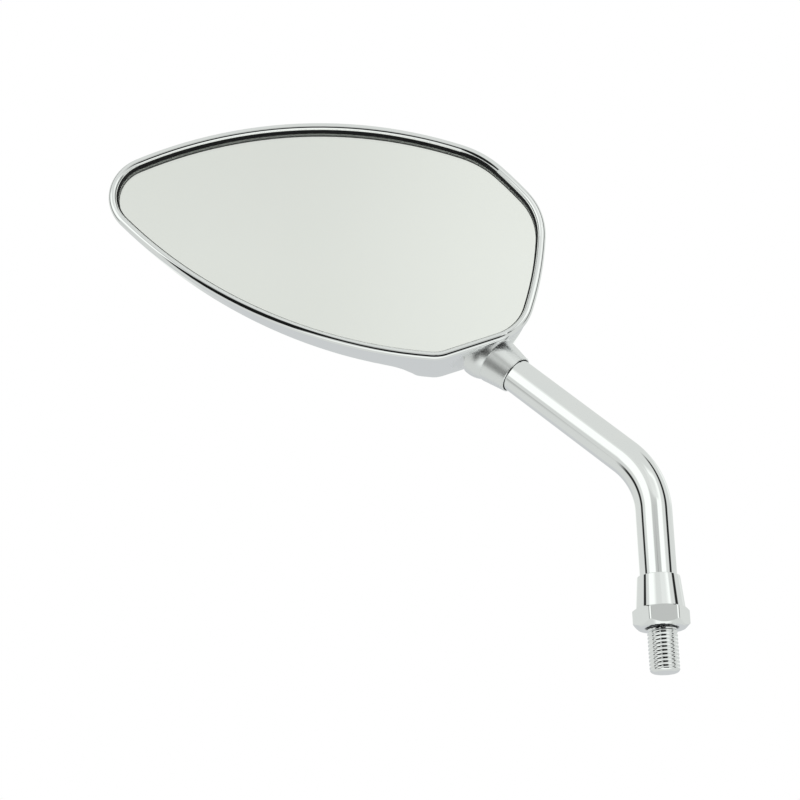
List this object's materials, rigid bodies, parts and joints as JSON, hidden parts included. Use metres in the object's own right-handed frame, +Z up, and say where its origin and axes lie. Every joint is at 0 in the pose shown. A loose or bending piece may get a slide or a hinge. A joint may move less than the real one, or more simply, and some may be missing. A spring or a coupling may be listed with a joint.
{
  "type": "motorcycle mirror",
  "caption": "Chromed handlebar mirror for a motorcycle: a wing-shaped head adjusts on a hidden ball joint at the top of a bent stem with a threaded stud and lock nut.",
  "frame": {"origin": "on the axis of the threaded stud, in the plane of the lock nut's underside", "axes": "+Z up along the stud towards the stem, -Y the way the glass faces, -X from the stem towards the tip of the head"},
  "size_m": [0.1987, 0.0432, 0.2079],
  "materials": {
    "stem_chrome": "polished chrome plate on a bent steel bar",
    "nut_chrome": "bright chrome plate on a turned steel nut",
    "collar_chrome": "polished chrome plate",
    "housing_chrome": "polished chrome plate on a die casting",
    "silvered_glass": "flat glass silvered on the back",
    "gasket_rubber": "black moulded rubber",
    "seal_rubber": "black rubber",
    "ball_steel": "turned steel",
    "nylon": "moulded nylon",
    "clamp_zinc": "as-cast light alloy",
    "fastener_steel": "zinc-plated steel",
    "pad_foam": "closed-cell adhesive foam",
    "backing_plastic": "black moulded plastic"
  },
  "bodies": {
    "stem": {"stem": "stem_chrome", "ball_stud": "ball_steel", "neck_collar": "collar_chrome"},
    "seal_washer": {"seal_washer": "seal_rubber"},
    "lock_nut": {"lock_nut": "nut_chrome"},
    "pressure_cup": {"pressure_cup": "nylon"},
    "socket_seat": {"socket_seat": "nylon"},
    "head": {"housing_shell": "housing_chrome", "clamp_block": "clamp_zinc", "clamp_screws": "fastener_steel", "spring_washers": "fastener_steel", "rim_gasket": "gasket_rubber", "mirror_glass": "silvered_glass", "foam_pad": "pad_foam", "backing_plate": "backing_plastic"}
  },
  "joints": [
    {"name": "nut_travel", "type": "slide", "parent": "stem", "child": "seal_washer", "axis": [0, 0, 1], "range_m": [-0.00625, 0]},
    {"name": "nut_turn", "type": "hinge", "parent": "seal_washer", "child": "lock_nut", "pos_m": [0, 0, 0], "axis": [0, 0, 1], "range_deg": [-1800, 0]},
    {"name": "head_twist", "type": "hinge", "parent": "stem", "child": "pressure_cup", "pos_m": [-0.05403, 0.01797, 0.10644], "axis": [-0.6883, 0.229, 0.6884], "continuous": true},
    {"name": "head_tilt", "type": "hinge", "parent": "pressure_cup", "child": "socket_seat", "pos_m": [-0.05403, 0.01797, 0.10644], "axis": [0.7071, 0, 0.7071], "range_deg": [-7, 7]},
    {"name": "head_roll", "type": "hinge", "parent": "socket_seat", "child": "head", "pos_m": [-0.05403, 0.01797, 0.10644], "axis": [0.1619, 0.9734, -0.1619], "range_deg": [-7, 7]}
  ],
  "couplings": [
    {"joint": "nut_travel", "follows": "nut_turn", "m_per_rad": 0.00019894}
  ]
}
